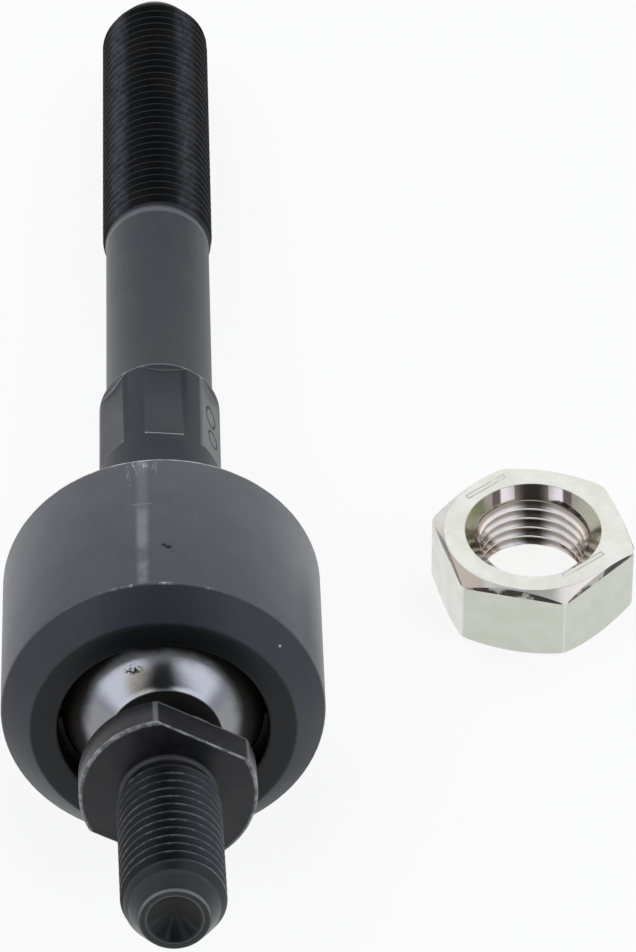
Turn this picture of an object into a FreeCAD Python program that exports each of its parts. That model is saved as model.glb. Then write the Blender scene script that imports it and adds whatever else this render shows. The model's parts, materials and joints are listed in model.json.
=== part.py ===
import FreeCAD, Part
import math
import os

# Inner tie rod of a steering rack, lying on a table as it comes to rest, with its jam nut beside it.
# One forged and turned body carries the ball housing, a neck with a rounded hexagon, the shank and the outer
# thread. The ball stud sits in a plastic seat, and the housing's front wall is rolled over to hold both in.
# Lengths are in millimetres and angles in degrees. Threads are left plain, at their crest diameter.
# Each piece is first made in the rod's own frame: ball centre at the origin, outer thread towards +Y.

# Ball and seat
BALL_D = 25.0
BALL_BACK_FLAT_D = 12.0
BALL_CLEARANCE = 0.1
SEAT_WALL = 1.9
SEAT_CLEARANCE = 0.1
SEAT_BACK_BEVEL_R = 1.0
SEAT_NOSE = 4.8
SEAT_GREASE_HOLE_D = 6.0
SEAT_SLOTS = 4
SEAT_SLOT_WIDTH = 1.2
SEAT_SLOT_REACH = 3.0

# Housing
HOUSING_D = 37.35
HOUSING_LEN = 23.75
BALL_SET_BACK = 4.9
CONE_LEN = 3.35
CONE_IN = 3.4
MOUTH_D = 24.2
MOUTH_EDGE_R = 0.5
FRONT_EDGE_R = 0.25
REAR_EDGE_R = 0.3
NECK_FILLET_R = 4.0

# Neck, with the six flats of a hexagon pressed into it, which leave round strips between them
NECK_D = 14.7
NECK_LEN = 35.25
NECK_EDGE_R = 0.3
HEXAGON_ACROSS_FLATS = 13.84
HEXAGON_LEN = 13.5
HEXAGON_END_LAND = 0.6
HEXAGON_TURN = 5.0
FLAT_END_RAMP = 0.6

# Shank and outer thread
SHANK_D = 13.0
SHANK_LEN = 34.8
OUTER_THREAD_D = 13.86
OUTER_THREAD_LEN = 51.55
RUN_OUT_LEN = 1.3
OUTER_LEAD_LEN = 3.8
OUTER_TIP_D = 10.0
CENTRE_HOLE_D = 6.4
CENTRE_HOLE_DEPTH = 2.3

# Ball stud, measured from the ball centre outwards
STUD_NECK_AT_BALL_D = 13.2
STUD_WAIST_D = 11.4
STUD_WAIST_FROM = 12.6
STUD_WAIST_LEN = 1.6
SHOULDER_D = 16.4
SHOULDER_LEN = 3.3
COLLAR_D = 20.2
COLLAR_FRONT = 22.2
COLLAR_THICK = 4.4
COLLAR_EDGE_R = 0.3
COLLAR_ACROSS_FLATS = 16.5
COLLAR_FLAT_TURN = 29.0
STUD_THREAD_D = 11.86
STUD_THREAD_LEN = 23.6
STUD_RELIEF_D = 10.3
STUD_RELIEF_LEN = 1.9
STUD_RELIEF_R = 0.5
STUD_LEAD_LEN = 3.6
STUD_TIP_D = 7.9

# Jam nut
NUT_ACROSS_FLATS = 22.0
NUT_ACROSS_CORNERS = 24.9
NUT_HEIGHT = 10.2
NUT_BORE_D = 12.6
NUT_COUNTERSINK_D = 16.6
NUT_CORNER_CHAMFER_ANGLE = 30.0
NUT_FACE_D = 21.4
NUT_BESIDE_ROD = 44.95
NUT_BEHIND_BALL = 36.5
NUT_TURN = -15.0

# How the stud stands in its seat at rest
STUD_LIFT = 4.2
STUD_SWING = 1.25

ORIGIN = FreeCAD.Vector(0, 0, 0)
X_AXIS = FreeCAD.Vector(1, 0, 0)
Y_AXIS = FreeCAD.Vector(0, 1, 0)
Z_AXIS = FreeCAD.Vector(0, 0, 1)

ball_r = BALL_D / 2
seat_inner_r = ball_r + BALL_CLEARANCE
seat_outer_r = seat_inner_r + SEAT_WALL
bore_r = seat_outer_r + SEAT_CLEARANCE
housing_r = HOUSING_D / 2
mouth_r = MOUTH_D / 2

# Stations along the rod, from the ball centre
front_edge = -BALL_SET_BACK
mouth_plane = front_edge - CONE_LEN
rear_rim = front_edge + HOUSING_LEN
neck_end = rear_rim + NECK_LEN
shank_end = neck_end + SHANK_LEN
outer_end = shank_end + OUTER_THREAD_LEN

# The rolled lip keeps the wall's thickness, so its inner cone runs beside the outer one.
wall = housing_r - bore_r
cone_slant = math.hypot(CONE_LEN, CONE_IN)
lip_offset = wall * cone_slant / CONE_IN
lip_slope = CONE_LEN / CONE_IN


def lip_inside(radius):
    """Station of the rolled lip's inner cone at a radius."""
    outer_cone = front_edge - (housing_r - radius) * lip_slope
    return outer_cone + lip_offset


def point(radius, station):
    return FreeCAD.Vector(radius, station, 0)


def turned(outline):
    """Revolves an outline of (radius, station) corners about the Y axis. A third number eases a corner:
    a small one is a plain bevel, and one over a millimetre is a fillet made of two straight turns."""
    corners = [point(c[0], c[1]) for c in outline]
    eased = []
    for i, here in enumerate(corners):
        radius = outline[i][2] if len(outline[i]) > 2 else 0
        if radius == 0:
            eased.append(here)
            continue
        back = (corners[i - 1] - here).normalize()
        ahead = (corners[(i + 1) % len(corners)] - here).normalize()
        half = back.getAngle(ahead) / 2
        centre = here + (back + ahead).normalize() * (radius / math.sin(half))
        first = here + back * (radius / math.tan(half)) - centre
        last = here + ahead * (radius / math.tan(half)) - centre
        chords = 2 if radius > 1 else 1
        sweep = first.getAngle(last)
        for k in range(chords + 1):
            share = k / chords
            along = first * (math.sin((1 - share) * sweep) / math.sin(sweep))
            eased.append(centre + along + last * (math.sin(share * sweep) / math.sin(sweep)))
    return Part.Face(Part.makePolygon(eased + eased[:1])).revolve(ORIGIN, Y_AXIS, 360)


def centre_hole(station, direction):
    """Conical centre hole, its mouth at a station, opening towards direction."""
    cone = Part.makeCone(CENTRE_HOLE_D / 2, 0, CENTRE_HOLE_DEPTH, ORIGIN, Y_AXIS * -direction)
    cone.translate(Y_AXIS * station)
    return cone


def tie_rod_body():
    """Housing, neck, shank and outer thread: one forging, bored from the front, its lip rolled in."""
    floor = bore_r
    thread_r = OUTER_THREAD_D / 2
    body = turned([
        (0, floor),
        (bore_r, floor, SEAT_BACK_BEVEL_R * 0.9),
        (bore_r, lip_inside(bore_r)),
        (mouth_r, lip_inside(mouth_r)),
        (mouth_r, mouth_plane, MOUTH_EDGE_R),
        (housing_r - CONE_IN, mouth_plane, FRONT_EDGE_R),
        (housing_r, front_edge, FRONT_EDGE_R),
        (housing_r, rear_rim, REAR_EDGE_R),
        (NECK_D / 2, rear_rim, NECK_FILLET_R),
        (NECK_D / 2, neck_end, NECK_EDGE_R),
        (SHANK_D / 2, neck_end, (NECK_D - SHANK_D) / 4),
        (SHANK_D / 2, shank_end),
        (thread_r, shank_end + RUN_OUT_LEN),
        (thread_r, outer_end - OUTER_LEAD_LEN),
        (OUTER_TIP_D / 2, outer_end),
        (0, outer_end),
    ])
    body = body.cut(centre_hole(outer_end, 1))
    flat_r = HEXAGON_ACROSS_FLATS / 2
    flat_end = neck_end - HEXAGON_END_LAND
    # Each flat's ends slope up to the round neck over the ramp's length.
    section = Part.Face(Part.makePolygon([
        FreeCAD.Vector(-NECK_D / 2, flat_end, flat_r),
        FreeCAD.Vector(-NECK_D / 2, flat_end - HEXAGON_LEN, flat_r),
        FreeCAD.Vector(-NECK_D / 2, flat_end - HEXAGON_LEN - 2 * FLAT_END_RAMP, flat_r + 2 * (NECK_D / 2 - flat_r)),
        FreeCAD.Vector(-NECK_D / 2, flat_end, flat_r + 2 * (NECK_D / 2 - flat_r)),
        FreeCAD.Vector(-NECK_D / 2, flat_end, flat_r),
    ]))
    for i in range(6):
        cutter = section.extrude(X_AXIS * NECK_D)
        cutter.rotate(ORIGIN, Y_AXIS, HEXAGON_TURN + 60 * i)
        body = body.cut(cutter)
    return body


def ball_seat():
    """Plastic cup round the ball, slotted at the front so that the ball snaps in, with a grease hole behind."""
    nose = -SEAT_NOSE
    nose_r = housing_r - (front_edge + lip_offset + SEAT_CLEARANCE - nose) / lip_slope
    slant_start = lip_inside(seat_outer_r) + SEAT_CLEARANCE
    seat = turned([
        (SEAT_GREASE_HOLE_D / 2, seat_outer_r),
        (seat_outer_r, seat_outer_r, SEAT_BACK_BEVEL_R),
        (seat_outer_r, slant_start),
        (nose_r, nose),
        (SEAT_GREASE_HOLE_D / 2, nose),
    ])
    seat = seat.cut(Part.makeSphere(seat_inner_r, ORIGIN, Y_AXIS))
    opening_r = math.sqrt(seat_inner_r ** 2 - nose ** 2)
    front_bore = Part.makeCylinder(opening_r, seat_inner_r, ORIGIN, -Y_AXIS)
    seat = seat.cut(front_bore)
    for i in range(SEAT_SLOTS):
        slot = Part.makeBox(2 * seat_outer_r, SEAT_NOSE + SEAT_SLOT_REACH, SEAT_SLOT_WIDTH)
        slot.translate(FreeCAD.Vector(0, nose, -SEAT_SLOT_WIDTH / 2))
        slot.rotate(ORIGIN, Y_AXIS, i * 360 / SEAT_SLOTS)
        seat = seat.cut(slot)
    return seat


def ball_stud():
    """Ball, waisted neck, collar with two flats and threaded end, turned from one bar."""
    neck_r = STUD_NECK_AT_BALL_D / 2
    neck_start = math.sqrt(ball_r ** 2 - neck_r ** 2)
    collar_back = COLLAR_FRONT - COLLAR_THICK
    waist_end = STUD_WAIST_FROM + STUD_WAIST_LEN
    relief_end = COLLAR_FRONT + STUD_RELIEF_LEN
    crest_rise = (STUD_THREAD_D - STUD_RELIEF_D) / 2
    tip = COLLAR_FRONT + STUD_THREAD_LEN
    stud = turned([
        (0, 0),
        (neck_r, 0),
        (neck_r, -neck_start),
        (STUD_WAIST_D / 2, -STUD_WAIST_FROM, 1.5),
        (STUD_WAIST_D / 2, -waist_end, 1.5),
        (SHOULDER_D / 2, -(waist_end + SHOULDER_LEN), 0.5),
        (SHOULDER_D / 2, -collar_back),
        (COLLAR_D / 2, -collar_back, COLLAR_EDGE_R),
        (COLLAR_D / 2, -COLLAR_FRONT, COLLAR_EDGE_R),
        (STUD_RELIEF_D / 2, -COLLAR_FRONT, STUD_RELIEF_R),
        (STUD_RELIEF_D / 2, -(relief_end - crest_rise)),
        (STUD_THREAD_D / 2, -relief_end),
        (STUD_THREAD_D / 2, -(tip - STUD_LEAD_LEN)),
        (STUD_TIP_D / 2, -tip),
        (0, -tip),
    ])
    for side in (-1, 1):
        cutter = Part.makeBox(COLLAR_D, COLLAR_THICK, COLLAR_D)
        cutter.translate(FreeCAD.Vector(-COLLAR_D / 2, -COLLAR_FRONT, COLLAR_ACROSS_FLATS / 2))
        if side < 0:
            cutter = cutter.mirror(ORIGIN, Z_AXIS)
        cutter.rotate(ORIGIN, Y_AXIS, COLLAR_FLAT_TURN)
        stud = stud.cut(cutter)
    ball = Part.makeSphere(ball_r, ORIGIN, Y_AXIS)
    back_flat = math.sqrt(ball_r ** 2 - (BALL_BACK_FLAT_D / 2) ** 2)
    behind = Part.makeCylinder(ball_r, ball_r, Y_AXIS * back_flat, Y_AXIS)
    stud = stud.fuse(ball.cut(behind)).removeSplitter()
    stud = stud.cut(centre_hole(-tip, -1))
    stud.rotate(ORIGIN, X_AXIS, -STUD_LIFT)
    stud.rotate(ORIGIN, Z_AXIS, STUD_SWING)
    return stud


def jam_nut():
    """Hexagon nut on the table plane, its corners rounded, chamfered and countersunk on both faces."""
    sharp_r = NUT_ACROSS_FLATS / 2 / math.cos(math.radians(30))
    corner_r = NUT_ACROSS_CORNERS / 2
    corners = []
    for i in range(7):
        angle = math.radians(NUT_TURN + 60 * i)
        corners.append(FreeCAD.Vector(sharp_r * math.cos(angle), sharp_r * math.sin(angle), 0))
    hexagon = Part.Face(Part.makePolygon(corners)).extrude(Z_AXIS * NUT_HEIGHT)
    face_r = NUT_FACE_D / 2
    drop = math.tan(math.radians(NUT_CORNER_CHAMFER_ANGLE)) * (corner_r - face_r)
    bore_radius = NUT_BORE_D / 2
    sink = (NUT_COUNTERSINK_D - NUT_BORE_D) / 2
    blank = Part.Face(Part.makePolygon([
        FreeCAD.Vector(bore_radius + sink, 0, 0),
        FreeCAD.Vector(face_r, 0, 0),
        FreeCAD.Vector(corner_r, 0, drop),
        FreeCAD.Vector(corner_r, 0, NUT_HEIGHT - drop),
        FreeCAD.Vector(face_r, 0, NUT_HEIGHT),
        FreeCAD.Vector(bore_radius + sink, 0, NUT_HEIGHT),
        FreeCAD.Vector(bore_radius, 0, NUT_HEIGHT - sink),
        FreeCAD.Vector(bore_radius, 0, sink),
        FreeCAD.Vector(bore_radius + sink, 0, 0),
    ])).revolve(ORIGIN, Z_AXIS, 360)
    return hexagon.common(blank)


def laid_down(shape):
    """Tips the rod onto its housing's rear rim and the start of its outer thread's lead, on the plane z = 0."""
    rim_station = rear_rim - REAR_EDGE_R
    gap_along = outer_end - OUTER_LEAD_LEN - rim_station
    slope = math.atan((housing_r - OUTER_THREAD_D / 2) / gap_along)
    laid = shape.copy()
    laid.rotate(ORIGIN, X_AXIS, -math.degrees(slope))
    height = housing_r * math.cos(slope) + rim_station * math.sin(slope)
    laid.translate(Z_AXIS * height)
    return laid


pieces = {
    "tie_rod_body": laid_down(tie_rod_body()),
    "ball_seat": laid_down(ball_seat()),
    "ball_stud": laid_down(ball_stud()),
}
nut = jam_nut()
nut.translate(FreeCAD.Vector(NUT_BESIDE_ROD, NUT_BEHIND_BALL, 0))
pieces["jam_nut"] = nut

# The origin is on the table, under the middle of everything that lies there.
box = FreeCAD.BoundBox()
for shape in pieces.values():
    box.add(shape.optimalBoundingBox(True, False))
middle = FreeCAD.Vector(box.Center.x, box.Center.y, 0)

os.makedirs("parts", exist_ok=True)
for name, shape in pieces.items():
    shape.translate(-middle)
    shape.exportStep("parts/" + name + ".step")
    print(name, "valid", shape.isValid(), "solids", len(shape.Solids), "volume", round(shape.Volume, 2))
print("ball centre", ORIGIN - middle, "box", box)
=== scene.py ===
import json
import math

import bmesh
import bpy
from mathutils import Matrix, Vector


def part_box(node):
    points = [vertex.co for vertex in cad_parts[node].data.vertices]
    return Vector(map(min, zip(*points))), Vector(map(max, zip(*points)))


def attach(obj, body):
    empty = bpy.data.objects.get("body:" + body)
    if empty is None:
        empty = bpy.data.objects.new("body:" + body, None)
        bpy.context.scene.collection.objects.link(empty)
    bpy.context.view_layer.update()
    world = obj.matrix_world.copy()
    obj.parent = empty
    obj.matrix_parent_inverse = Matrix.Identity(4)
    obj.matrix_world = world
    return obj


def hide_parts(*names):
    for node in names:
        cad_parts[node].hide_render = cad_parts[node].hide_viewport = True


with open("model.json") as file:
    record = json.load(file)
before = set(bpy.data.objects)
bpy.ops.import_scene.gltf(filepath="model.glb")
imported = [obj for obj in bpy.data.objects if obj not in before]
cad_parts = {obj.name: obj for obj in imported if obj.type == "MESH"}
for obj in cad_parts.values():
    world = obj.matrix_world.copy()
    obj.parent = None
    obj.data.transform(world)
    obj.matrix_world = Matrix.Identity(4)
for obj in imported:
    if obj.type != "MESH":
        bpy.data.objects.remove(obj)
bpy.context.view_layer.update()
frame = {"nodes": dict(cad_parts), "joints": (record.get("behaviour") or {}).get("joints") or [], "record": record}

# The camera looks down on the stud's end from the front, through a long lens. Everything is measured from the
# ball's centre, because both joints turn about it.
MM = 0.001
CAMERA_FROM_BALL = Vector((3.354, -524.165, 504.990)) * MM
CAMERA_FORWARD = Vector((0.020605, 0.742328, -0.669720))
FOCAL_PIXELS = 6300
PHOTO_HEIGHT = 952
SENSOR_MM = 24
NEAREST_SEEN = 0.01

ball_centre = Vector(frame["joints"][0]["pos_m"])
camera_data = bpy.data.cameras.new("photo_camera")
camera_data.sensor_fit = "VERTICAL"
camera_data.sensor_height = SENSOR_MM
camera_data.lens = FOCAL_PIXELS / PHOTO_HEIGHT * SENSOR_MM
camera_data.clip_start = NEAREST_SEEN
camera = bpy.data.objects.new("photo_camera", camera_data)
bpy.context.scene.collection.objects.link(camera)
look = CAMERA_FORWARD.normalized()
right = look.cross(Vector((0, 0, 1))).normalized()
up = right.cross(look)
camera.matrix_world = (Matrix.Translation(ball_centre + CAMERA_FROM_BALL)
                       @ Matrix((right, up, -look)).transposed().to_4x4())
bpy.context.scene.camera = camera
bpy.context.scene.view_settings.view_transform = "Standard"

# The parts lie on a white table in a light tent, whose walls light them evenly from all sides.
# The tent has a slot in front of the camera, which shows as a dark band in every polished surface.


class Value:
    """A shader socket that takes part in arithmetic. Each operator adds one Math node."""

    def __init__(self, finish, socket):
        self.finish = finish
        self.socket = socket

    def __add__(self, other):
        return self.finish.calculate("ADD", self, other)

    def __radd__(self, other):
        return self.finish.calculate("ADD", other, self)

    def __sub__(self, other):
        return self.finish.calculate("SUBTRACT", self, other)

    def __rsub__(self, other):
        return self.finish.calculate("SUBTRACT", other, self)

    def __mul__(self, other):
        return self.finish.calculate("MULTIPLY", self, other)

    def __rmul__(self, other):
        return self.finish.calculate("MULTIPLY", other, self)

    def __truediv__(self, other):
        return self.finish.calculate("DIVIDE", self, other)

    def __pow__(self, other):
        return self.finish.calculate("POWER", self, other)

    def __abs__(self):
        return self.finish.calculate("ABSOLUTE", self)

    def most(self, *others):
        """The greatest of this value and the others."""
        greatest = self
        for other in others:
            greatest = self.finish.calculate("MAXIMUM", greatest, other)
        return greatest

    def rise(self, low, high):
        """0 below low and 1 above high, with a smooth slope between them. It falls if high is the lower."""
        return self.finish.node("ShaderNodeMapRange", {"interpolation_type": "SMOOTHSTEP"},
                                {"Value": self, "From Min": low, "From Max": high})

    def band(self, middle, reach, soft):
        """1 within reach of the middle, falling to 0 over the soft distance outside it."""
        return abs(self - middle).rise(reach + soft, reach)


class Finish:
    """A surface made of shader nodes. node() adds any node: its settings first, then its sockets."""

    def __init__(self, name, owner=None):
        if owner is None:
            owner = bpy.data.materials.new(name)
            self.material = owner
        owner.use_nodes = True
        self.tree = owner.node_tree
        self.shader = self.tree.nodes.get("Principled BSDF") or self.tree.nodes.get("Background")

    def node(self, kind, settings=None, sockets=None, output=0):
        made = self.tree.nodes.new(kind)
        for name, setting in (settings or {}).items():
            setattr(made, name, setting)
        for name, value in (sockets or {}).items():
            self.feed(made.inputs[name], value)
        return Value(self, made.outputs[output])

    def feed(self, socket, value):
        if isinstance(value, Value):
            self.tree.links.new(value.socket, socket)
        else:
            socket.default_value = value

    def set(self, **sockets):
        for name, value in sockets.items():
            self.feed(self.shader.inputs[name.replace("_", " ")], value)

    def calculate(self, operation, *values):
        """One Math node on numbers and values."""
        return self.node("ShaderNodeMath", {"operation": operation}, dict(enumerate(values)))

    def split(self, vector):
        """The three numbers of a vector."""
        first = self.node("ShaderNodeSeparateXYZ", None, {"Vector": vector})
        return [Value(self, socket) for socket in first.socket.node.outputs]

    def blend(self, amount, first, second):
        """first where amount is 0, second where it is 1. Both are colours."""
        return self.node("ShaderNodeMix", {"data_type": "RGBA"}, {0: amount, 6: first, 7: second}, output=2)

    def noise(self, where, scale, detail=2.0, rough=0.5, stretch=(1, 1, 1)):
        moved = self.node("ShaderNodeVectorMath", {"operation": "MULTIPLY"}, {0: where, 1: stretch})
        return self.node("ShaderNodeTexNoise", None,
                         {"Vector": moved, "Scale": scale, "Detail": detail, "Roughness": rough})

    def near(self, where, point, reach, soft, stretch=(1, 1, 1)):
        """1 close to a point and 0 further away. A stretch over 1 makes the spot narrower along that axis."""
        apart = self.node("ShaderNodeVectorMath", {"operation": "SUBTRACT"}, {0: where, 1: point})
        apart = self.node("ShaderNodeVectorMath", {"operation": "MULTIPLY"}, {0: apart, 1: stretch})
        length = self.node("ShaderNodeVectorMath", {"operation": "LENGTH"}, {0: apart}, output=1)
        return length.rise(reach + soft, reach)

    def bumps(self, height, millimetres):
        """Raises the surface by a height of 0 to 1 times a size in millimetres."""
        return self.node("ShaderNodeBump", None,
                         {"Height": height, "Strength": 1.0, "Distance": millimetres * MM})

    def millimetres(self, place):
        """Object coordinates in millimetres in a piece's own frame. place takes that frame to the row's."""
        here = self.node("ShaderNodeTexCoord", output=3)
        return self.node("ShaderNodeMapping", {"vector_type": "TEXTURE"},
                         {"Vector": here, "Location": place.translation, "Rotation": place.to_euler(),
                          "Scale": place.to_scale()})


def grey(level, tint=(1, 1, 1)):
    return (level * tint[0], level * tint[1], level * tint[2], 1)


TENT_WHITE = grey(1.0)
TENT_FRONT = grey(0.86, (0.94, 0.98, 1.07))
TENT_BACK = grey(0.88)
TENT_TOP_FRONT = grey(0.12)
TENT_SLOT = grey(0.02)
TENT_TOP_FROM, TENT_TOP_FULL = 0.86, 0.98
SLOT_HALF_WIDTH = math.radians(11)
SLOT_SOFT = math.radians(40)
FRONT_UNTIL = math.radians(84)
BACK_FROM = math.radians(100)

tent_world = bpy.context.scene.world or bpy.data.worlds.new("tent")
bpy.context.scene.world = tent_world
tent = Finish("tent", tent_world)
tent_right, tent_away, tent_up = tent.split(tent.node("ShaderNodeTexCoord", output=0))
from_front = tent.calculate("ARCTAN2", tent_right, 0 - tent_away)
front_wall = tent.blend(from_front.band(0, SLOT_HALF_WIDTH, SLOT_SOFT), TENT_FRONT, TENT_SLOT)
front_wall = tent.blend(tent_up.rise(TENT_TOP_FROM, TENT_TOP_FULL), front_wall, TENT_TOP_FRONT)
from_camera = tent.node("ShaderNodeLightPath", output="Is Camera Ray")
in_metal = tent.node("ShaderNodeLightPath", output="Is Glossy Ray")
through = tent.node("ShaderNodeLightPath", output="Is Transmission Ray")
back_wall = tent.blend(in_metal, TENT_BACK, TENT_WHITE)
wall = tent.blend(abs(from_front).rise(FRONT_UNTIL, BACK_FROM), front_wall, back_wall)
tent.set(Color=tent.blend(from_camera.most(through), wall, TENT_WHITE), Strength=1.0)

# The table glows a little by itself, so that it stays white to the eye and in polished surfaces.
TABLE_HALF = 4
TABLE_WHITE = grey(0.92)
TABLE_OWN_WHITE = 0.88
table_mesh = bpy.data.meshes.new("table")
table_shape = bmesh.new()
bmesh.ops.create_grid(table_shape, x_segments=1, y_segments=1, size=TABLE_HALF)
table_shape.to_mesh(table_mesh)
table_shape.free()
table = bpy.data.objects.new("table", table_mesh)
bpy.context.scene.collection.objects.link(table)
table_white = Finish("table_white")
table_white.set(Base_Color=TABLE_WHITE, Roughness=0.7)
glow = table_white.node("ShaderNodeEmission", None, {"Color": TENT_WHITE, "Strength": 1.0})
table_seen = table_white.node("ShaderNodeLightPath", output="Is Camera Ray")
for ray in ("Is Glossy Ray", "Is Transmission Ray"):
    table_seen = table_seen.most(table_white.node("ShaderNodeLightPath", output=ray))
table_mixed = table_white.node("ShaderNodeMixShader", None, {
    0: table_seen * TABLE_OWN_WHITE, 1: Value(table_white, table_white.shader.outputs[0]), 2: glow})
table_white.feed(table_white.tree.nodes["Material Output"].inputs["Surface"], table_mixed)
table_mesh.materials.append(table_white.material)

# Two soft lamps stand beside the camera. They light the parts but don't show in the metal.
SOFTBOX_SIZE = 0.9
SOFTBOX_AWAY = 1.1
SOFTBOX_POWER = 2.5
SOFTBOX_SIDE, SOFTBOX_FRONT, SOFTBOX_UP = 0.75, 0.45, 0.75
for name, side in (("left_softbox", -1), ("right_softbox", 1)):
    lamp_data = bpy.data.lights.new(name, "AREA")
    lamp_data.shape = "RECTANGLE"
    lamp_data.size = SOFTBOX_SIZE
    lamp_data.size_y = SOFTBOX_SIZE
    lamp_data.energy = SOFTBOX_POWER
    lamp = bpy.data.objects.new(name, lamp_data)
    lamp.visible_glossy = False
    aim = Vector((side * SOFTBOX_SIDE, -SOFTBOX_FRONT, SOFTBOX_UP)).normalized()
    lamp.location = ball_centre + aim * SOFTBOX_AWAY
    lamp.rotation_euler = aim.to_track_quat("Z", "Y").to_euler()
    bpy.context.scene.collection.objects.link(lamp)

# The rod body is one piece of steel: housing, neck, shank and outer thread, forged and turned, its thread
# rolled. The front wall is rolled over the ball's seat. All of it has a thin black phosphate coat.
STEPS_ROUND = 96
MERGE_WITHIN = 0.0005
HOUSING_R = 18.675
FRONT_EDGE = -4.9
REAR_RIM = 18.85
BORE_R = 14.6
MOUTH_R = 12.1
MOUTH_PLANE = -8.25
LIP_FOOT_R = 15.275
LIP_INSIDE_AT_BORE = -3.194
LIP_INSIDE_AT_MOUTH = -5.658
NECK_R = 7.35
NECK_END = 54.1
SHANK_R = 6.5
SHANK_END = 88.9
OUTER_CREST_R = 6.93
OUTER_RUN_OUT = 2.6
OUTER_LEAD_START = 136.65
OUTER_THREAD_LAST = 139.2
OUTER_END = 140.45
OUTER_TIP_R = 5.0
CENTRE_HOLE_R = 3.2
CENTRE_HOLE_DEPTH = 2.3
PITCH = 1.5
THREAD_DEPTH = 0.92
SIXTH_TURN = math.pi / 3
HEXAGON_FLAT = 6.92
HEXAGON_START = 40.0
HEXAGON_END = 53.5
HEXAGON_TURN = math.radians(5)
HEXAGON_RAMP = 0.6
FLATS_MIDDLE, FLATS_REACH = 47.0, 7.4


def piece_of(name, shape, place, surface, sharp=math.radians(38)):
    """Puts a finished shape, made in millimetres in its own frame, into the row's frame as one object."""
    bmesh.ops.remove_doubles(shape, verts=shape.verts, dist=MERGE_WITHIN)
    bmesh.ops.dissolve_degenerate(shape, edges=shape.edges, dist=0.0002)
    bmesh.ops.recalc_face_normals(shape, faces=shape.faces)
    for face in shape.faces:
        face.smooth = True
    for edge in shape.edges:
        edge.smooth = len(edge.link_faces) == 2 and edge.calc_face_angle(0) < sharp
    bmesh.ops.transform(shape, matrix=place, verts=shape.verts)
    mesh = bpy.data.meshes.new(name)
    shape.to_mesh(mesh)
    shape.free()
    mesh.materials.append(surface.material)
    piece = bpy.data.objects.new(name, mesh)
    bpy.context.scene.collection.objects.link(piece)
    return piece


def add_to(shape, part):
    """Joins a part that was made on its own to the shape it belongs to."""
    carried = bpy.data.meshes.new("carried")
    part.to_mesh(carried)
    part.free()
    shape.from_mesh(carried)
    bpy.data.meshes.remove(carried)


def turn(shape, outline):
    """Spins an outline of (radius, station) corners about Y. A third number is how far a corner is eased."""
    part = bmesh.new()
    corners = [part.verts.new((corner[0], corner[1], 0)) for corner in outline]
    for pair in zip(corners, corners[1:]):
        part.edges.new(pair)
    by_ease = {}
    for corner, values in zip(corners, outline):
        if len(values) > 2:
            by_ease.setdefault(values[2], []).append(corner)
    for ease, eased in by_ease.items():
        bmesh.ops.bevel(part, geom=eased, offset=ease, offset_type="OFFSET", segments=5 if ease > 0.6 else 3,
                        profile=0.5, affect="VERTICES", material=-1)
    bmesh.ops.spin(part, geom=part.verts[:] + part.edges[:], cent=(0, 0, 0), axis=(0, 1, 0), dvec=(0, 0, 0),
                   angle=math.tau, steps=STEPS_ROUND, use_merge=True, use_duplicate=False,
                   use_normal_flip=False)
    add_to(shape, part)


# Half of a rolled thread's section: how far from the crest, in pitches, and how deep, in thread depths
THREAD_FLANK = ((0.045, 0.004), (0.085, 0.06), (0.40, 0.93), (0.44, 0.985), (0.5, 1.0))


def thread(shape, crest_r, depth, low, high, radius_at):
    """A right-hand thread between two stations. radius_at(station, radius) trims it to the piece's form."""
    part = bmesh.new()
    section = [(-away, down) for away, down in reversed(THREAD_FLANK)] + list(THREAD_FLANK)
    corners = [part.verts.new((crest_r - depth * down, low - 2 * PITCH + PITCH * away, 0))
               for away, down in section]
    for pair in zip(corners, corners[1:]):
        part.edges.new(pair)
    bmesh.ops.spin(part, geom=part.verts[:] + part.edges[:], cent=(0, 0, 0), axis=(0, 1, 0),
                   dvec=(0, PITCH / STEPS_ROUND, 0), angle=math.tau, steps=STEPS_ROUND,
                   use_merge=False, use_duplicate=False, use_normal_flip=False)
    one_turn = part.verts[:] + part.edges[:] + part.faces[:]
    for turn_number in range(1, math.ceil((high - low) / PITCH) + 3):
        copied = bmesh.ops.duplicate(part, geom=one_turn)["geom"]
        bmesh.ops.translate(part, vec=(0, PITCH * turn_number, 0),
                            verts=[item for item in copied if isinstance(item, bmesh.types.BMVert)])
    for vert in part.verts:
        radius = math.hypot(vert.co.x, vert.co.z)
        station = min(max(vert.co.y, low), high)
        trimmed = radius_at(station, radius) / radius
        vert.co = Vector((vert.co.x * trimmed, station, vert.co.z * trimmed))
    bmesh.ops.remove_doubles(part, verts=part.verts, dist=MERGE_WITHIN)
    add_to(shape, part)


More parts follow.
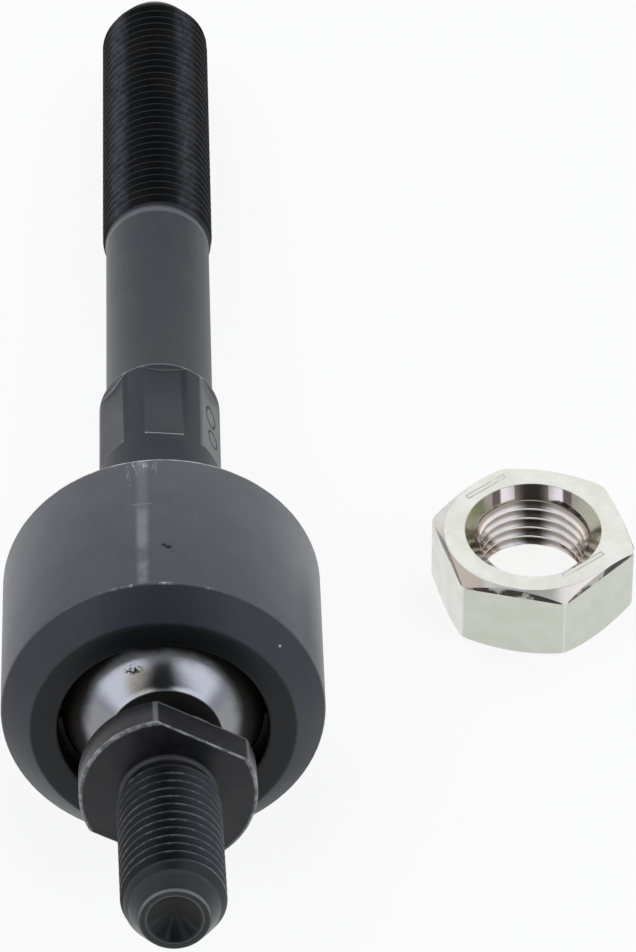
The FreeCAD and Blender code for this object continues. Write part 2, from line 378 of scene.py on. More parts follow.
def mill_flat(shape, lean, distance, start, end, ramp=None):
    """Cuts a flat parallel to Y between two stations: splits the skin along its outline, then presses it
    flat. A ramp of (length, rise) is the slope from the flat up to the round part before its start."""
    normal = Vector((math.sin(lean), 0, math.cos(lean)))
    length, rise = ramp or (0, 0)
    slope = rise / length if ramp else 0
    ramp_normal = (normal + Vector((0, slope, 0))).normalized()

    def skin_between(low, high):
        found = []
        for face in shape.faces:
            middle = face.calc_center_median()
            if low < middle.y < high and middle.dot(normal) > 0:
                found.append(face)
        return (found + list({edge for face in found for edge in face.edges})
                + list({vert for face in found for vert in face.verts}))

    cuts = [(start - 3, end + 3, (0, station, 0), (0, 1, 0))
            for station in (start - length, start, end, end + 0.04)]
    cuts.append((start, end, normal * distance, normal))
    if ramp:
        cuts.append((start - length, start, normal * distance + Vector((0, start, 0)), ramp_normal))
    for low, high, through_point, across_cut in cuts:
        bmesh.ops.bisect_plane(shape, geom=skin_between(low, high), dist=0.0001, plane_co=through_point,
                               plane_no=across_cut, clear_outer=False, clear_inner=False,
                               use_snap_center=False)
    for vert in shape.verts:
        if start - length - 0.001 < vert.co.y < end + 0.001:
            above = vert.co.dot(normal) - distance - max(start - vert.co.y, 0) * slope
            if above > 0:
                vert.co -= normal * above


outer_lead_slope = (OUTER_CREST_R - OUTER_TIP_R) / (OUTER_END - OUTER_LEAD_START)
outer_cap_r = OUTER_CREST_R - (OUTER_THREAD_LAST - OUTER_LEAD_START) * outer_lead_slope


def outer_form(station, radius):
    """The thread grows out of the shank over its first turns and is cut by the lead cone at its end."""
    grown = min(max((station - SHANK_END) / OUTER_RUN_OUT, 0), 1)
    grown = grown * grown * (3 - 2 * grown)
    radius = SHANK_R + (radius - SHANK_R) * grown
    lead_cone = OUTER_CREST_R - max(station - OUTER_LEAD_START, 0) * outer_lead_slope
    return min(radius, lead_cone)


rod_y = Vector(frame["joints"][0]["axis"])
rod_z = Vector((1, 0, 0)).cross(rod_y)
rod_place = (Matrix.Translation(ball_centre)
             @ Matrix(((1, 0, 0), rod_y, rod_z)).transposed().to_4x4() @ Matrix.Scale(MM, 4))

rod_shape = bmesh.new()
thread(rod_shape, OUTER_CREST_R, THREAD_DEPTH, SHANK_END, OUTER_THREAD_LAST, outer_form)
turn(rod_shape, [
    (0, BORE_R),
    (BORE_R, BORE_R, 0.9),
    (BORE_R, LIP_INSIDE_AT_BORE),
    (MOUTH_R, LIP_INSIDE_AT_MOUTH, 0.3),
    (MOUTH_R, MOUTH_PLANE, 0.5),
    (LIP_FOOT_R, MOUTH_PLANE, 0.3),
    (HOUSING_R, FRONT_EDGE, 0.25),
    (HOUSING_R, REAR_RIM, 0.3),
    (NECK_R, REAR_RIM, 4.0),
    (NECK_R, NECK_END, 0.35),
    (SHANK_R, NECK_END, 0.4),
    (SHANK_R, SHANK_END),
])
turn(rod_shape, [
    (outer_cap_r, OUTER_THREAD_LAST),
    (OUTER_TIP_R, OUTER_END, 0.25),
    (CENTRE_HOLE_R, OUTER_END, 0.1),
    (0, OUTER_END - CENTRE_HOLE_DEPTH),
])
bmesh.ops.remove_doubles(rod_shape, verts=rod_shape.verts, dist=MERGE_WITHIN)
for side in range(6):
    mill_flat(rod_shape, HEXAGON_TURN + side * SIXTH_TURN, HEXAGON_FLAT, HEXAGON_START, HEXAGON_END,
              ramp=(HEXAGON_RAMP, NECK_R - HEXAGON_FLAT))

# Colours, each pair from its darker to its lighter patches, and where the small marks lie
HOUSING_BLACKS = ((0.044, 0.051, 0.068, 1), (0.052, 0.057, 0.074, 1))
CONE_BLACKS = ((0.017, 0.020, 0.029, 1), (0.028, 0.031, 0.040, 1))
CONE_PAINTED_SHEEN = (0.040, 0.043, 0.054, 1)
LIP_FACE_PAINTED_SHADE = (0.0045, 0.005, 0.0065, 1)
NECK_BLACKS = ((0.010, 0.014, 0.024, 1), (0.013, 0.017, 0.026, 1))
RIGHT_FLAT_PAINTED_REFLECTION = (0.095, 0.098, 0.105, 1)
STEP_PAINTED_LIGHT_GREYS = ((0.090, 0.094, 0.102, 1), (0.24, 0.243, 0.25, 1))
THREAD_BLACKS = ((0.0012, 0.0014, 0.0026, 1), (0.004, 0.0035, 0.0032, 1))
THREAD_PAINTED_HIGHLIGHT = (0.055, 0.060, 0.078, 1)
PIT_BLACK = grey(0.003)
WEAR_AND_HIGHLIGHT_STEEL = grey(0.62, (0.97, 1, 1.03))
SCUFF_X = -2.7
STRIPE_X = -2.0
WITNESS_STATION = 10.2
DOT_ON_CONE = (13.43, -6.5, 10.49)
PITS_ON_TOP = ((0.45, 2.2, 18.67), (0.95, 1.8, 18.65))

rod_black = Finish("rod_black_phosphate")
rod_here = rod_black.millimetres(rod_place)
rod_x, station, rod_up = rod_black.split(rod_here)
radius = (rod_x * rod_x + rod_up * rod_up) ** 0.5
round_angle = rod_black.calculate("ARCTAN2", rod_x, rod_up)
cloud = rod_black.noise(rod_here, 0.22, 4.0, 0.6)
grain = rod_black.noise(rod_here, 1.6, 6.0, 0.65)
nicks = rod_black.noise(rod_here, 0.55, 5.0, 0.75)
turning = rod_black.noise(rod_here, 1.0, 3.0, 0.6, (0.05, 2.2, 0.05))
upper_side = rod_up.rise(0, 1)

# Where on the rod a point lies
on_housing = (station.rise(REAR_RIM + 0.4, REAR_RIM - 0.1) * station.rise(FRONT_EDGE - 0.2, FRONT_EDGE + 0.1)
              * radius.rise(HOUSING_R - 0.475, HOUSING_R - 0.175))
on_cone = (station.rise(FRONT_EDGE + 0.15, FRONT_EDGE - 0.05)
           * radius.rise(LIP_FOOT_R - 0.175, LIP_FOOT_R + 0.125))
on_face = (station.rise(FRONT_EDGE - 0.05, FRONT_EDGE - 0.1)
           * radius.rise(LIP_FOOT_R + 0.225, LIP_FOOT_R - 0.175))
on_neck = station.rise(REAR_RIM - 0.1, REAR_RIM + 0.4) * station.rise(NECK_END + 0.1, NECK_END - 0.1)
on_thread = station.rise(SHANK_END + 0.4, SHANK_END + 1.6)
on_shank = station.rise(NECK_END, NECK_END + 0.2) * (1 - on_thread)
turned_by = round_angle - HEXAGON_TURN + math.pi + SIXTH_TURN / 2
spoke = rod_black.calculate("FLOORED_MODULO", turned_by, SIXTH_TURN) - SIXTH_TURN / 2
flat_height = radius * rod_black.calculate("COSINE", spoke)
flat_aside = abs(radius * rod_black.calculate("SINE", spoke))
on_flat = (flat_height.rise(HEXAGON_FLAT + 0.06, HEXAGON_FLAT + 0.02)
           * station.band(FLATS_MIDDLE, FLATS_REACH, 0.1))
on_right_flat = on_flat * round_angle.rise(0.72, 0.76) * round_angle.rise(1.55, 1.5)

# Wear: bare steel shows on every edge that knocks against others in the bin. Two light lines here are painted
# highlights as well: at the flats' near ends and round the neck's end.
front_edge_wear = (station.band(FRONT_EDGE, 0.1, 0.1) * radius.rise(HOUSING_R - 0.275, HOUSING_R - 0.175)
                   * (0.06 + nicks.rise(0.50, 0.66) * rod_x.band(-1.5, 6.5, 3) * rod_up.rise(0, 2) * 0.6))
rear_edge_wear = (station.band(REAR_RIM - 0.05, 0.2, 0.15) * radius.rise(HOUSING_R - 0.475, HOUSING_R - 0.275)
                  * (0.35 + nicks.rise(0.4, 0.6)))
scuff_patches = rod_black.noise(rod_here, 0.9, 4.0, 0.7, (1.6, 0.5, 1)).rise(0.55, 0.72)
scuffs = (scuff_patches * rod_x.band(SCUFF_X, 1.2, 1.6) * radius.rise(HOUSING_R - 0.475, HOUSING_R - 0.175)
          * station.rise(13, REAR_RIM - 0.35) * station.rise(REAR_RIM + 0.55, REAR_RIM + 0.05))
# A faint light stripe, lighter in patches, runs along the top of the housing.
stripe = (rod_x.band(STRIPE_X, 0.25, 0.7) * on_housing * upper_side
          * (0.08 + 0.14 * cloud.rise(0.4, 0.62)))
witness = station.band(WITNESS_STATION, 0.04, 0.1) * rod_x.band(STRIPE_X, 0.9, 0.5) * upper_side * 0.2
dot = rod_black.near(rod_here, DOT_ON_CONE, 0.08, 0.12)
# Painted highlight: a bright line across the near end of the upper and left flats, painted as bare steel.
flat_start_painted_highlight = (station.band(HEXAGON_START - 0.05, 0.14, 0.08)
                   * flat_height.rise(HEXAGON_FLAT + 0.16, HEXAGON_FLAT + 0.06)
                   * abs(round_angle + 0.5).rise(1.1, 1.0) * flat_aside.rise(2.4, 2.2) * 0.6)
# Edge wear and a painted highlight: a light ring round the neck where it steps down to the shank.
neck_edge_wear_and_highlight = station.band(NECK_END - 0.12, 0.16, 0.1) * radius.rise(NECK_R - 0.25, NECK_R - 0.1) * 0.42
shank_end_wear = station.band(SHANK_END + 0.1, 0.3, 0.5) * 0.13
crest_wear = (on_thread * radius.rise(OUTER_CREST_R - 0.1, OUTER_CREST_R - 0.01)
              * (0.003 + 0.02 * nicks.rise(0.5, 0.7)))
wear_and_painted_highlights = front_edge_wear.most(rear_edge_wear, scuffs, stripe, witness, neck_edge_wear_and_highlight, flat_start_painted_highlight,
                            shank_end_wear, crest_wear, dot)

# Painted highlights: the outer thread is lightened in patches along two lines on its upper side, where it mirrors
# the tent's bright walls.
highlight_patches = rod_black.noise(rod_here, 0.9, 4.0, 0.6, (1, 0.5, 1)).rise(0.35, 0.65)
thread_painted_highlights = ((rod_x.band(-4.8, 0.2, 1.5) + rod_x.band(3.9, 0.25, 1.5) * 0.8) * upper_side
          * (0.35 + 0.65 * radius.rise(6.25, 6.75)) * (0.45 + 0.75 * highlight_patches))

# Painted light: the small wall at each flat's far end, and the foot of that wall, are lightened to lift the shade
# there.
step_height = (NECK_R ** 2 - flat_aside * flat_aside) ** 0.5 - HEXAGON_FLAT
step_foot_painted_light = (step_height * 1.36 + station - HEXAGON_END).rise(-0.08, 0.1) * on_flat
step_wall_painted_light = (station.band(HEXAGON_END + 0.03, 0.12, 0.06)
             * radius.rise(HEXAGON_FLAT - 0.22, HEXAGON_FLAT - 0.07)
             * radius.rise(NECK_R - 0.005, NECK_R - 0.03))

# Two pits on the top of the housing, and two plain rings stamped into the neck's right flat
pits = rod_black.near(rod_here, PITS_ON_TOP[0], 0.14, 0.22).most(
    rod_black.near(rod_here, PITS_ON_TOP[1], 0.16, 0.22, (0.7, 1, 1)))
across_flat = rod_x * math.cos(HEXAGON_TURN + SIXTH_TURN) - rod_up * math.sin(HEXAGON_TURN + SIXTH_TURN)


def stamped_ring(across_middle, station_middle, half_across, half_along):
    """A thin oval line on the right flat."""
    off_across = (across_flat - across_middle) / half_across
    off_along = (station - station_middle) / half_along
    return ((off_across ** 2 + off_along ** 2) ** 0.5).band(1.0, 0.1, 0.08)


stamped = stamped_ring(-0.15, 48.3, 1.15, 1.7).most(stamped_ring(0.35, 44.4, 1.1, 1.3)) * on_right_flat
sunken = pits.most(stamped)

base = rod_black.blend(cloud.rise(0.4, 0.6), *NECK_BLACKS)
base = rod_black.blend(on_housing, base, rod_black.blend(cloud.rise(0.35, 0.65), *HOUSING_BLACKS))
base = rod_black.blend(on_cone, base, rod_black.blend(grain, *CONE_BLACKS))
# Painted sheen: the cone is lightened on its left and right sides, fading out towards its bottom.
cone_sides_painted_sheen = on_cone * abs(rod_x).band(11.5, 2.5, 3.5) * rod_up.rise(-6, 2) * 0.5
base = rod_black.blend(cone_sides_painted_sheen, base, CONE_PAINTED_SHEEN)
# Painted shade: the lip's flat front face round the mouth is made near-black.
base = rod_black.blend(on_face, base, LIP_FACE_PAINTED_SHADE)
base = rod_black.blend(on_thread, base, rod_black.blend(cloud.rise(0.5, 0.62), *THREAD_BLACKS))
base = rod_black.blend(on_thread * thread_painted_highlights, base, THREAD_PAINTED_HIGHLIGHT)
# Painted reflection: the neck's right flat is lightened to grey, where it mirrors the white table.
base = rod_black.blend(on_right_flat, base, RIGHT_FLAT_PAINTED_REFLECTION)
base = rod_black.blend(step_foot_painted_light.most(step_wall_painted_light), base, rod_black.blend(abs(rod_x).rise(3, 4.5), *STEP_PAINTED_LIGHT_GREYS))
base = rod_black.blend(sunken, base, PIT_BLACK)
low_right = rod_x.rise(0, 9) * rod_up.rise(2, -8)
oil = (on_housing * (0.60 - rod_x.rise(2, -12) * 0.14) + on_cone * (0.46 - low_right * 0.3) + on_face * 0.36
       + on_neck * 0.30 + on_shank * (0.40 - rod_x.rise(0, 5) * 0.12) + on_thread * 0.15)
rod_black.set(
    Base_Color=rod_black.blend(wear_and_painted_highlights, base, WEAR_AND_HIGHLIGHT_STEEL),
    Metallic=wear_and_painted_highlights,
    Specular_IOR_Level=0.12,
    Coat_Weight=oil * (0.85 + cloud * 0.3) * (1 - sunken),
    Coat_Roughness=0.34,
    Roughness=0.42 + grain * 0.16,
    Normal=rod_black.bumps(grain * 0.6 + turning * 0.5 * on_housing - pits - stamped * 4, 0.012))

rod = piece_of("forged_rod", rod_shape, rod_place, rod_black)
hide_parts("tie_rod_body")
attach(rod, "rod")

# The seat is a moulded plastic cup, greased and pressed into the housing before its lip is rolled over.
# Only its front edge can be seen, in the dark gap between the ball and the mouth.
SEAT_SHADE = grey(0.004)
SEAT_GREASE = grey(0.016, (1.2, 1.0, 0.8))
seat_plastic = Finish("seat_plastic")
greased = seat_plastic.noise(seat_plastic.node("ShaderNodeTexCoord", output=3), 900.0, 4.0, 0.6)
seat_plastic.set(
    Base_Color=seat_plastic.blend(greased.rise(0.4, 0.6), SEAT_SHADE, SEAT_GREASE),
    Roughness=0.35 + greased * 0.3, Specular_IOR_Level=0.3)
frame["nodes"]["ball_seat"].data.materials.clear()
frame["nodes"]["ball_seat"].data.materials.append(seat_plastic.material)

# The ball stud is one turned piece: a ground and polished ball, a waisted neck, a collar with two flats for
# the spanner, and a rolled thread. Everything but the ball is phosphated black.
BALL_R = 12.5
BALL_BACK_FLAT_R = 6.0
BALL_RINGS = 48
NECK_AT_BALL_R = 6.6
WAIST_R = 5.7
WAIST_BACK = -12.6
WAIST_FRONT = -14.2
SHOULDER_R = 8.2
SHOULDER_EDGE = -17.5
COLLAR_R = 10.1
COLLAR_BACK = -17.8
COLLAR_FRONT = -22.2
COLLAR_FLAT = 8.25
COLLAR_TURN = math.radians(29)
RELIEF_R = 5.15
STUD_THREAD_START = -23.3
STUD_RUN_OUT = 1.2
STUD_CREST_R = 5.93
STUD_LEAD_START = -42.2
STUD_THREAD_LAST = -45.2
STUD_END = -45.8
STUD_TIP_R = 3.95

mounts = {mount["name"]: mount for mount in frame["record"]["mounts"]}
stud_y = -Vector(mounts["stud_thread"]["axis"])
stud_x = stud_y.cross(rod_z).normalized()
stud_place = (Matrix.Translation(ball_centre)
              @ Matrix((stud_x, stud_y, stud_x.cross(stud_y))).transposed().to_4x4() @ Matrix.Scale(MM, 4))
stud_lead_slope = (STUD_CREST_R - STUD_TIP_R) / (STUD_LEAD_START - STUD_END)
stud_cap_r = STUD_CREST_R - (STUD_LEAD_START - STUD_THREAD_LAST) * stud_lead_slope


def stud_form(station, radius):
    """The thread starts in the relief behind it and is cut by the end's chamfer."""
    grown = min(max((STUD_THREAD_START - station) / STUD_RUN_OUT, 0), 1)
    radius = RELIEF_R + (radius - RELIEF_R) * grown
    lead_cone = STUD_CREST_R - max(STUD_LEAD_START - station, 0) * stud_lead_slope
    return min(radius, lead_cone)


stud_shape = bmesh.new()
thread(stud_shape, STUD_CREST_R, THREAD_DEPTH, STUD_THREAD_LAST, STUD_THREAD_START, stud_form)
neck_start = math.sqrt(BALL_R ** 2 - NECK_AT_BALL_R ** 2)
ball_back = math.sqrt(BALL_R ** 2 - BALL_BACK_FLAT_R ** 2)
first_turn = math.acos(ball_back / BALL_R)
last_turn = math.acos(-neck_start / BALL_R)
ball_turns = [first_turn + (last_turn - first_turn) * i / BALL_RINGS for i in range(BALL_RINGS + 1)]
turn(stud_shape, [
    (0, ball_back),
    *((BALL_R * math.sin(angle), BALL_R * math.cos(angle)) for angle in ball_turns),
    (WAIST_R, WAIST_BACK, 1.0),
    (WAIST_R, WAIST_FRONT, 1.0),
    (SHOULDER_R, SHOULDER_EDGE, 0.4),
    (SHOULDER_R, COLLAR_BACK),
    (COLLAR_R, COLLAR_BACK, 0.25),
    (COLLAR_R, COLLAR_FRONT, 0.3),
    (RELIEF_R, COLLAR_FRONT, 0.6),
    (RELIEF_R, STUD_THREAD_START),
])
turn(stud_shape, [
    (stud_cap_r, STUD_THREAD_LAST),
    (STUD_TIP_R, STUD_END, 0.15),
    (CENTRE_HOLE_R, STUD_END, 0.15),
    (0, STUD_END + CENTRE_HOLE_DEPTH),
])
bmesh.ops.remove_doubles(stud_shape, verts=stud_shape.verts, dist=MERGE_WITHIN)
for half_turn in (0, math.pi):
    mill_flat(stud_shape, COLLAR_TURN + half_turn, COLLAR_FLAT, COLLAR_FRONT - 0.1, COLLAR_BACK + 0.1)

# Colours of the stud, and where the stain and the speck lie on the ball
STUD_BLACKS = ((0.0035, 0.0042, 0.007, 1), (0.011, 0.009, 0.011, 1))
STUD_THREAD_BLACK_TO_SHEEN = ((0.002, 0.0024, 0.004, 1), (0.022, 0.025, 0.036, 1))
STUD_LEAD_BLACK = (0.007, 0.008, 0.011, 1)
STUD_NECK_PAINTED_SHADE = grey(0.0008)
HOLE_GREYS = ((0.0012, 0.0012, 0.0016, 1), (0.03, 0.032, 0.036, 1))
BALL_STEEL_LIT_AND_SHADED = (grey(0.62, (0.97, 0.99, 1.04)), grey(0.26, (0.97, 0.99, 1.04)))
STAIN_BROWN = (0.40, 0.34, 0.25, 1)
GREASE_AND_SHADE_BLACK = grey(0.02, (1.1, 1, 0.9))
STUD_WORN_STEEL = grey(0.66, (0.97, 1.0, 1.04))
POLISH_END = -11.0
STAIN_PLACE = (-2.5, -9.9, 7.1)
SPECK_PLACE = (-3.5, -8.75, 8.2)

stud_steel = Finish("stud_phosphate_and_polish")
stud_here = stud_steel.millimetres(stud_place)
stud_across, along, stud_up = stud_steel.split(stud_here)
stud_radius = (stud_across * stud_across + stud_up * stud_up) ** 0.5
stud_turn = stud_steel.calculate("ARCTAN2", stud_across, stud_up)
from_centre = stud_steel.node("ShaderNodeVectorMath", {"operation": "LENGTH"}, {0: stud_here}, output=1)
stud_cloud = stud_steel.noise(stud_here, 0.4, 4.0, 0.6)
stud_grain = stud_steel.noise(stud_here, 2.2, 5.0, 0.65)
stud_nicks = stud_steel.noise(stud_here, 0.9, 5.0, 0.75)
brushed = stud_steel.noise(stud_here, 2.0, 3.0, 0.6, (0.1, 3.0, 0.1))

# The ball: painted shade at its sides, grease and painted shade towards the seat, with one brown stain and a dark
# speck
polished = from_centre.rise(BALL_R + 0.10, BALL_R + 0.04) * along.rise(POLISH_END - 0.2, POLISH_END + 0.2)
grease_and_shade_edge = along + stud_cloud * 0.8 + (1 - stud_up / 9.5) * 1.2 - stud_across.rise(-1, -5) * 0.6
greasy_and_shaded = grease_and_shade_edge.rise(-8.5, -6.8)
side_shade = abs(stud_turn + math.radians(4)).rise(math.radians(42), math.radians(58))
stain = (stud_steel.near(stud_here, STAIN_PLACE, 0.6, 2.1, (0.95, 1, 1))
         * (0.55 + 0.45 * stud_cloud.rise(0.35, 0.6)))
speck = stud_steel.near(stud_here, SPECK_PLACE, 0.3, 0.5, (0.5, 1, 1)) * stud_grain.rise(0.44, 0.52)
ball_steel = stud_steel.blend(side_shade, *BALL_STEEL_LIT_AND_SHADED)
ball_steel = stud_steel.blend(stain, ball_steel, STAIN_BROWN)
ball_steel = stud_steel.blend(greasy_and_shaded.most(speck), ball_steel, GREASE_AND_SHADE_BLACK)

# Where on the stud a point lies
in_neck = along.band(-14.1, 3.15, 0.15) * stud_radius.rise(SHOULDER_R + 0.2, SHOULDER_R - 0.2)
on_collar = along.band((COLLAR_FRONT + COLLAR_BACK) / 2, 2.6, 0.1)
collar_height = abs(stud_across * math.sin(COLLAR_TURN) + stud_up * math.cos(COLLAR_TURN))
spanner_flat = on_collar * collar_height.band(COLLAR_FLAT, 0.03, 0.05) * stud_up.rise(0, 1)
on_stud_thread = along.rise(STUD_THREAD_START + 0.1, STUD_THREAD_START - 0.3)
on_lead = along.rise(STUD_LEAD_START, STUD_LEAD_START - 0.4)
in_centre_hole = (along.rise(STUD_END + 0.1, STUD_END + 0.25) * along.rise(STUD_END + 2.8, STUD_END + 2.5)
                  * stud_radius.rise(CENTRE_HOLE_R - 0.05, CENTRE_HOLE_R - 0.15))

# Wear on the stud's edges, its thread's crests and the rings at its end
collar_rim = stud_radius.rise(COLLAR_R - 0.5, COLLAR_R - 0.25).most(
    collar_height.rise(COLLAR_FLAT - 0.14, COLLAR_FLAT - 0.04))
collar_front_edge = (along.band(COLLAR_FRONT + 0.12, 0.2, 0.12) * collar_rim
                     * (0.12 + 0.34 * stud_nicks.rise(0.42, 0.62)))
collar_corner = (on_collar * stud_radius.rise(COLLAR_R - 0.16, COLLAR_R - 0.06)
                 * collar_height.band(COLLAR_FLAT, 0.14, 0.2) * 0.16)
collar_back_edge = (along.band(COLLAR_BACK - 0.1, 0.12, 0.1)
                    * collar_height.rise(COLLAR_FLAT - 0.25, COLLAR_FLAT - 0.05) * 0.12)
shoulder_edge = (along.band(SHOULDER_EDGE - 0.05, 0.12, 0.12)
                 * stud_radius.band(SHOULDER_R - 0.1, 0.14, 0.1) * 0.4)
root_ring = stud_radius.band(RELIEF_R + 0.3, 0.12, 0.15) * along.band(COLLAR_FRONT - 0.2, 0.3, 0.2) * 0.05
stud_crests = (on_stud_thread * stud_radius.rise(STUD_CREST_R - 0.16, STUD_CREST_R - 0.03)
               * (0.02 + 0.10 * stud_nicks.rise(0.45, 0.65)
                  + along.rise(STUD_LEAD_START + 0.6, STUD_LEAD_START - 0.4) * 0.2))
tip_ring = (along.rise(STUD_END + 0.3, STUD_END + 0.1)
            * stud_radius.rise(STUD_TIP_R - 0.16, STUD_TIP_R - 0.11) * (0.05 + 0.2 * stud_up.rise(-1.0, 3.0)))
hole_ring = along.band(STUD_END + 0.08, 0.08, 0.04) * stud_radius.band(CENTRE_HOLE_R, 0.05, 0.04) * 0.09
bare = collar_front_edge.most(collar_corner, collar_back_edge, shoulder_edge, root_ring, stud_crests,
                              tip_ring, hole_ring)

# Painted sheen: the stud's thread is lighter and bluer towards its right side.
thread_right_painted_sheen = stud_across.rise(1.0, 4.5) * stud_radius.rise(5.1, 5.6)
streaks = stud_steel.noise(stud_steel.node("ShaderNodeCombineXYZ", None, {0: stud_turn * 1.3}), 1.0, 4.0, 0.7)
hole_streaks = streaks.rise(0.45, 0.65) * stud_up.rise(1.0, -2.0)
stud_black = stud_steel.blend(stud_cloud.rise(0.4, 0.62), *STUD_BLACKS)
# Painted shade: the waisted neck between the ball and the collar is made near-black.
stud_black = stud_steel.blend(in_neck, stud_black, STUD_NECK_PAINTED_SHADE)
stud_black = stud_steel.blend(on_stud_thread, stud_black, stud_steel.blend(thread_right_painted_sheen, *STUD_THREAD_BLACK_TO_SHEEN))
stud_black = stud_steel.blend(on_lead, stud_black, STUD_LEAD_BLACK)
stud_black = stud_steel.blend(in_centre_hole, stud_black, stud_steel.blend(hole_streaks, *HOLE_GREYS))
black_or_bare = stud_steel.blend(bare, stud_black, STUD_WORN_STEEL)
clean_ball = polished * (1 - greasy_and_shaded)
stud_oil = (0.64 - in_neck * 0.62 - (on_stud_thread - on_lead) * 0.16 - in_centre_hole * 0.3
            - spanner_flat * 0.38)
stud_steel.set(
    Base_Color=stud_steel.blend(polished, black_or_bare, ball_steel),
    Metallic=clean_ball.most(bare),
    Specular_IOR_Level=0.12,
    Coat_Weight=stud_oil * (1 - polished),
    Coat_Roughness=0.3,
    Roughness=((0.44 + stud_grain * 0.14) * (1 - polished)
               + polished * (0.10 + stud_cloud * 0.08 + greasy_and_shaded * 0.3)),
    Normal=stud_steel.bumps(brushed * (0.5 * polished + 0.5) + stud_grain * (1 - polished) * 0.7, 0.008))
stud = piece_of("polished_ball_stud", stud_shape, stud_place, stud_steel)
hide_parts("ball_stud")
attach(stud, "stud")

# The jam nut is cold formed, tapped and zinc plated. Both faces are chamfered at the corners, the hole is
# countersunk, and two short narrow marks are pressed into the top face.
NUT_FLAT = 11.0
NUT_HEIGHT = 10.2
NUT_FACE_R = 10.7
NUT_SINK_R = 8.3
NUT_MINOR_R = 6.3
NUT_THREAD_DEPTH = 0.72
NUT_TURN = math.radians(-15)
NUT_BLANK_R = 12.5
NUT_CHAMFER = math.radians(30)
NUT_CORNER_ROUND = 1.6
NUT_CORNER_LEANS = [math.radians(lean) for lean in (-20, -10, 0, 10, 20)]

# Its own Y axis points up, so that it is turned as the rod and the stud are.
nut_low, nut_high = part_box("jam_nut")
nut_middle = (nut_low + nut_high) / 2
nut_place = (Matrix.Translation((nut_middle.x, nut_middle.y, 0))
             @ Matrix.Rotation(math.pi / 2, 4, "X") @ Matrix.Scale(MM, 4))
nut_drop = math.tan(NUT_CHAMFER) * (NUT_BLANK_R - NUT_FACE_R)


def nut_form(station, radius):
    """The countersinks widen the tapped hole at both faces."""
    from_face = min(station, NUT_HEIGHT - station)
    return max(radius, NUT_SINK_R - from_face)


nut_shape = bmesh.new()
thread(nut_shape, NUT_MINOR_R, -NUT_THREAD_DEPTH, 0, NUT_HEIGHT, nut_form)
turn(nut_shape, [
    (NUT_SINK_R, 0),
    (NUT_FACE_R, 0),
    (NUT_BLANK_R, nut_drop),
    (NUT_BLANK_R, NUT_HEIGHT - nut_drop),
    (NUT_FACE_R, NUT_HEIGHT),
    (NUT_SINK_R, NUT_HEIGHT),
])
bmesh.ops.remove_doubles(nut_shape, verts=nut_shape.verts, dist=MERGE_WITHIN)
corner_centre = (NUT_FLAT - NUT_CORNER_ROUND) / math.cos(SIXTH_TURN / 2)
planes = []
for side in range(6):
    corner = NUT_TURN + side * SIXTH_TURN
    planes.append((corner + SIXTH_TURN / 2, NUT_FLAT))
    for lean in NUT_CORNER_LEANS:
        planes.append((corner + lean, corner_centre * math.cos(lean) + NUT_CORNER_ROUND))
for angle, distance in planes:
    normal = Vector((math.cos(angle), 0, -math.sin(angle)))
    cut = bmesh.ops.bisect_plane(nut_shape, geom=nut_shape.verts[:] + nut_shape.edges[:] + nut_shape.faces[:],
                                 dist=0.0001, plane_co=normal * distance, plane_no=normal,
                                 clear_outer=True, clear_inner=False, use_snap_center=False)
    rim = [item for item in cut["geom_cut"] if isinstance(item, bmesh.types.BMEdge)]
    bmesh.ops.edgenet_fill(nut_shape, edges=rim)

# Colours of the plating, and where the two marks are pressed in
PLATE_WHITES = (grey(0.76, (1.0, 1.01, 0.92)), grey(0.86, (1.0, 1.0, 0.95)))
SHADED_PLATES = ((0.60, 0.62, 0.54, 1), (0.65, 0.67, 0.60, 1))
NUT_THREAD_LIGHT_AND_SHADE = ((0.92, 0.86, 0.80, 1), (0.40, 0.34, 0.29, 1))
SINK_OLIVES = ((0.18, 0.20, 0.11, 1), (0.42, 0.43, 0.34, 1))
SINK_PAINTED_REFLECTION = (1.0, 0.89, 0.87, 1)
SINK_PAINTED_DARK_REFLECTION = (0.16, 0.12, 0.10, 1)
LEFT_CORNER_BROWN = (0.52, 0.46, 0.41, 1)
RIGHT_CHAMFER_PAINTED_HIGHLIGHT = (1.0, 0.93, 0.88, 1)
CHAMFER_LINE_PAINTED_SHADE = (0.05, 0.045, 0.04, 1)
CORNER_PAINTED_HIGHLIGHT = grey(0.95)
SPOT_GREY = grey(0.26, (1.0, 0.98, 0.92))
MARK_HALF_WIDTH = 0.28
LEFT_MARK = ((-7.67, -6.08), (-3.04, -9.77))
RIGHT_MARK = ((3.22, 8.24), (8.13, 4.4))

zinc = Finish("zinc_plate")
nut_here = zinc.millimetres(nut_place)
nut_across, nut_up, nut_near = zinc.split(nut_here)
nut_radius = (nut_across * nut_across + nut_near * nut_near) ** 0.5
nut_cloud = zinc.noise(nut_here, 0.35, 5.0, 0.6)
nut_grain = zinc.noise(nut_here, 2.5, 5.0, 0.7)
nut_spots = zinc.noise(nut_here, 0.8, 6.0, 0.8)
cloudy = nut_cloud.rise(0.35, 0.65)

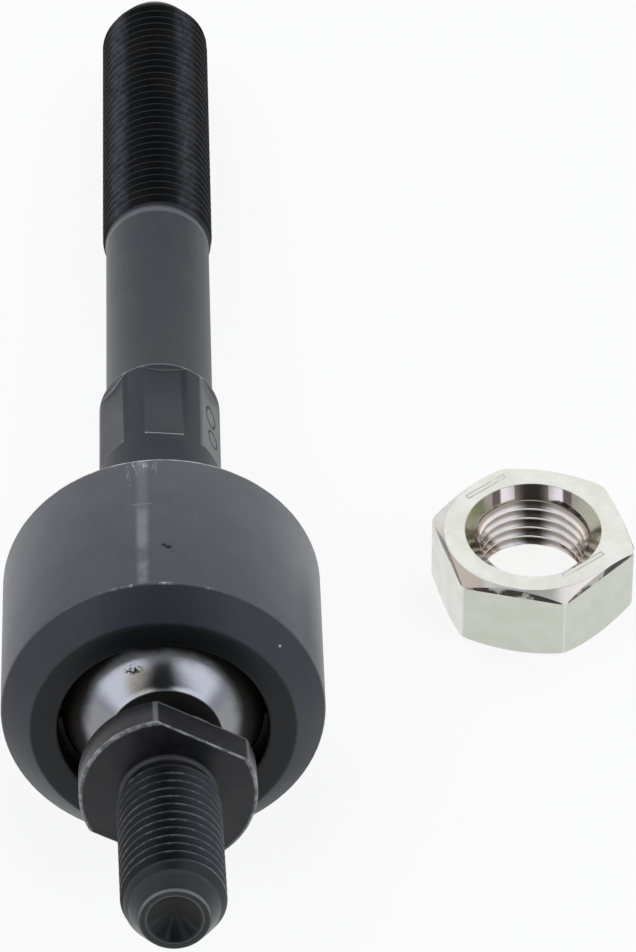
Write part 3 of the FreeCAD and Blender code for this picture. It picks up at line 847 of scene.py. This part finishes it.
# Where on the nut a point lies: nut_near grows towards the camera.
facing = nut_near.rise(-3, 2)
top_face = nut_up.rise(NUT_HEIGHT - 0.06, NUT_HEIGHT - 0.02)
on_chamfer = nut_up.band(NUT_HEIGHT - 0.6, 0.52, 0.06) * nut_radius.rise(NUT_FACE_R, NUT_FACE_R + 0.1)
on_side = (1 - top_face) * (1 - on_chamfer) * nut_radius.rise(10.8, 10.95)
in_hole = nut_radius.rise(NUT_SINK_R + 0.02, NUT_SINK_R - 0.12)
in_sink = in_hole * nut_radius.rise(7.0, 7.2)
nut_angle = zinc.calculate("ARCTAN2", 0 - nut_near, nut_across)
nut_spoke = zinc.calculate("FLOORED_MODULO", nut_angle - NUT_TURN + math.tau, SIXTH_TURN) - SIXTH_TURN / 2
side_height = nut_radius * zinc.calculate("COSINE", nut_spoke)


def pressed_mark(first, last):
    """The narrow outline of a mark pressed into the top face between two points of (across, near)."""
    run = (last[0] - first[0], last[1] - first[1])
    length = math.hypot(*run)
    unit = (run[0] / length, run[1] / length)
    down = (nut_across - first[0]) * unit[0] + (nut_near - first[1]) * unit[1] - length / 2
    beside = (nut_across - first[0]) * -unit[1] + (nut_near - first[1]) * unit[0]
    sides = (abs(abs(beside) - MARK_HALF_WIDTH).rise(0.14, 0.05)
             * abs(down).rise(length / 2 + 0.1, length / 2))
    ends = (abs(abs(down) - length / 2).rise(0.14, 0.05)
            * abs(beside).rise(MARK_HALF_WIDTH + 0.1, MARK_HALF_WIDTH))
    return sides.most(ends)


pressed = top_face * nut_cloud.rise(0.3, 0.5) * pressed_mark(*LEFT_MARK).most(pressed_mark(*RIGHT_MARK))

# Painted shade: a dark line lies where each chamfer meets a side. Painted highlight: a bright line runs along the
# corners.
chamfer_painted_shade_line = (on_chamfer * side_height.rise(NUT_FLAT - 0.10, NUT_FLAT - 0.05)
                * facing * (0.5 + 0.5 * nut_cloud.rise(0.42, 0.52)))
corner_painted_highlight = abs(nut_spoke).rise(math.radians(29.45), math.radians(29.8)) * on_side * 0.5
shaded_side = on_side * nut_across.rise(-9.0, -8.6) * facing
left_corner = on_chamfer * nut_across.rise(-5.5, -7) * facing
# Painted highlight: a pinkish bright patch on the chamfer at the front right.
right_chamfer_painted_highlight = on_chamfer * nut_across.rise(1.5, 3.5) * nut_across.rise(9.5, 7.5) * facing

# Painted reflections on the far side of the countersink: two bright blocks, with a dark one beside each.
far_sink = in_sink * nut_near.rise(-4, -6)
sink_painted_reflections = far_sink * abs(nut_across - 0.2).band(2.9, 0.75, 0.2)
sink_painted_dark_reflections = far_sink * abs(nut_across - 0.2).band(4.35, 0.35, 0.25)
stained = (in_sink * (0.6 + 0.4 * nut_cloud.rise(0.4, 0.6))
           * (1 - far_sink * abs(nut_across).rise(6.0, 5.4)))

plate = zinc.blend(cloudy, *PLATE_WHITES)
plate = zinc.blend(shaded_side, plate, zinc.blend(cloudy, *SHADED_PLATES))
# The tapped thread is tinted brown, with painted highlights on its crests and painted shade in its roots.
thread_root_painted_shade = nut_radius.rise(NUT_MINOR_R + 0.1, NUT_MINOR_R + 0.5)
plate = zinc.blend(in_hole, plate, zinc.blend(thread_root_painted_shade, *NUT_THREAD_LIGHT_AND_SHADE))
plate = zinc.blend(stained, plate, zinc.blend(nut_across.rise(-4, 4), *SINK_OLIVES))
spots = (pressed * 0.45).most(nut_spots.rise(0.70, 0.76) * 0.5)
for amount, colour in ((sink_painted_reflections, SINK_PAINTED_REFLECTION), (sink_painted_dark_reflections, SINK_PAINTED_DARK_REFLECTION),
                       (left_corner, LEFT_CORNER_BROWN), (right_chamfer_painted_highlight, RIGHT_CHAMFER_PAINTED_HIGHLIGHT),
                       (chamfer_painted_shade_line, CHAMFER_LINE_PAINTED_SHADE), (corner_painted_highlight, CORNER_PAINTED_HIGHLIGHT),
                       (spots, SPOT_GREY)):
    plate = zinc.blend(amount, plate, colour)
zinc.set(
    Base_Color=plate,
    Metallic=0.92 - pressed * 0.4 - right_chamfer_painted_highlight * 0.7 - corner_painted_highlight * 0.5,
    Roughness=0.32 + nut_cloud * 0.12 - in_hole * 0.27 - left_corner * 0.2 + pressed * 0.2,
    Normal=zinc.bumps(nut_cloud * 0.9 + nut_grain * 0.25 - pressed * 2, 0.014))
nut = piece_of("hex_jam_nut", nut_shape, nut_place, zinc, sharp=math.radians(20))
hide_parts("jam_nut")
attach(nut, "rod")
